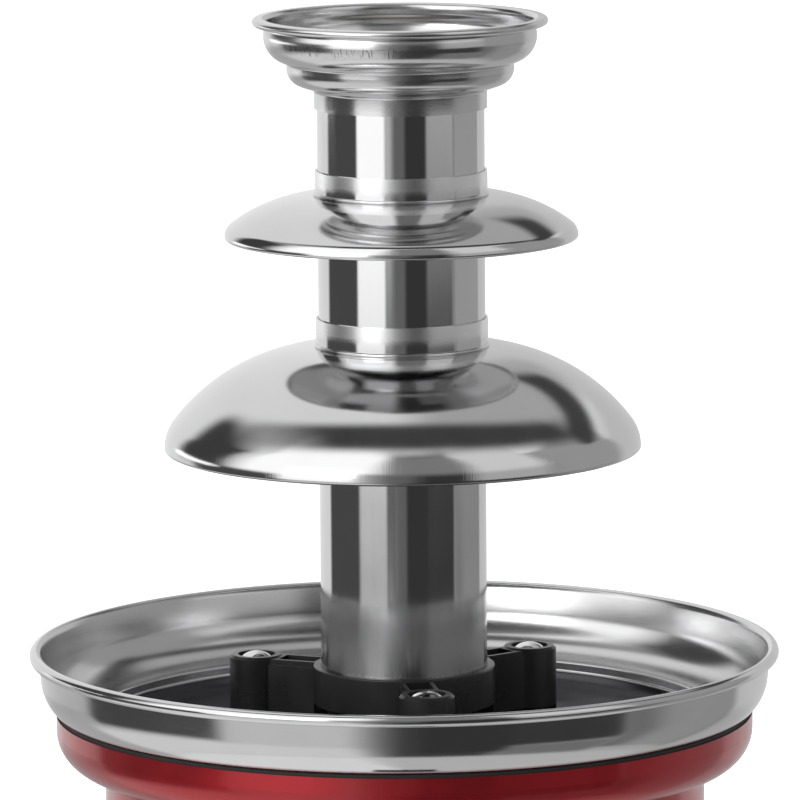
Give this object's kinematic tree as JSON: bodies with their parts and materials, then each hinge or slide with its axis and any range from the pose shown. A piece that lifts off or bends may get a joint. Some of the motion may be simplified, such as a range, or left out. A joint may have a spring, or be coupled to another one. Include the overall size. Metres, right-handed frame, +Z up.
{
  "type": "chocolate fountain",
  "caption": "Table-top chocolate fountain: a helical auger lifts chocolate through a tube to a stepped crown, and it falls over domed tiers into a heated bowl on a round base.",
  "frame": {"origin": "on the table, at the foot of the tower's axis", "axes": "+Z up along the tower, -Y to the front where the knob is, +X to the right seen from the front"},
  "size_m": [0.22, 0.22, 0.2997],
  "materials": {
    "red_shell": "smooth metallic red lacquer, glossy",
    "black_plastic": "moulded black plastic",
    "foot_plastic": "moulded black plastic with a slight sheen",
    "knob_plastic": "fine moulded texture",
    "white_plastic": "off-white food-safe plastic",
    "black_rubber": "soft black rubber",
    "bowl_steel": "satin, spun around the axis",
    "tower_steel": "polished, with fine drawn marks",
    "post_steel": "turned and polished",
    "zinc_steel": "zinc-plated",
    "bronze": "plain sintered bronze",
    "heater_aluminium": "as cast",
    "element_steel": "heat-tinted sheath",
    "lead_sleeve": "silicone sleeve"
  },
  "bodies": {
    "base": {"housing": "red_shell", "housing_ring": "red_shell", "base_plate": "black_plastic", "base_screws": "zinc_steel", "rubber_feet": "black_rubber", "bowl": "bowl_steel", "bowl_gasket": "black_rubber", "bowl_posts": "post_steel", "post_seals": "black_rubber", "post_washers": "zinc_steel", "post_nuts": "zinc_steel", "shaft_hub": "post_steel", "hub_gasket": "black_rubber", "hub_nut": "zinc_steel", "shaft_bush": "bronze", "shaft_seal": "black_rubber", "heater_plate": "heater_aluminium", "heater_element": "element_steel", "thermostat": "black_plastic", "thermostat_screws": "zinc_steel", "motor_bracket": "zinc_steel", "gear_case": "black_plastic", "motor_can": "zinc_steel", "motor_screws": "zinc_steel", "terminal_block": "white_plastic", "terminal_screws": "zinc_steel", "rotary_switch": "black_plastic", "switch_nut": "zinc_steel", "cord_gland": "black_plastic", "gland_nut": "black_plastic", "leads": "lead_sleeve"},
    "drive": {"drive_shaft": "post_steel", "drive_coupling": "foot_plastic", "coupling_pin": "post_steel"},
    "auger": {"auger": "white_plastic"},
    "tower": {"tower_foot": "foot_plastic", "tower_tube": "tower_steel", "large_tier": "tower_steel", "small_tier": "tower_steel"},
    "crown": {"crown": "tower_steel"},
    "knob": {"control_knob": "knob_plastic", "switch_shaft": "post_steel"}
  },
  "joints": [
    {"name": "auger_spin", "type": "hinge", "parent": "base", "child": "drive", "pos_m": [0, 0, 0.1], "axis": [0, 0, 1], "continuous": true},
    {"name": "auger_lift", "type": "slide", "parent": "drive", "child": "auger", "axis": [0, 0, 1], "range_m": [0, 0.2]},
    {"name": "tower_lift", "type": "slide", "parent": "base", "child": "tower", "axis": [0, 0, 1], "range_m": [0, 0.2]},
    {"name": "crown_lift", "type": "slide", "parent": "tower", "child": "crown", "axis": [0, 0, 1], "range_m": [0, 0.06]},
    {"name": "knob_turn", "type": "hinge", "parent": "base", "child": "knob", "pos_m": [0, -0.09, 0.042], "axis": [0, 1, 0], "range_deg": [0, 90]}
  ]
}
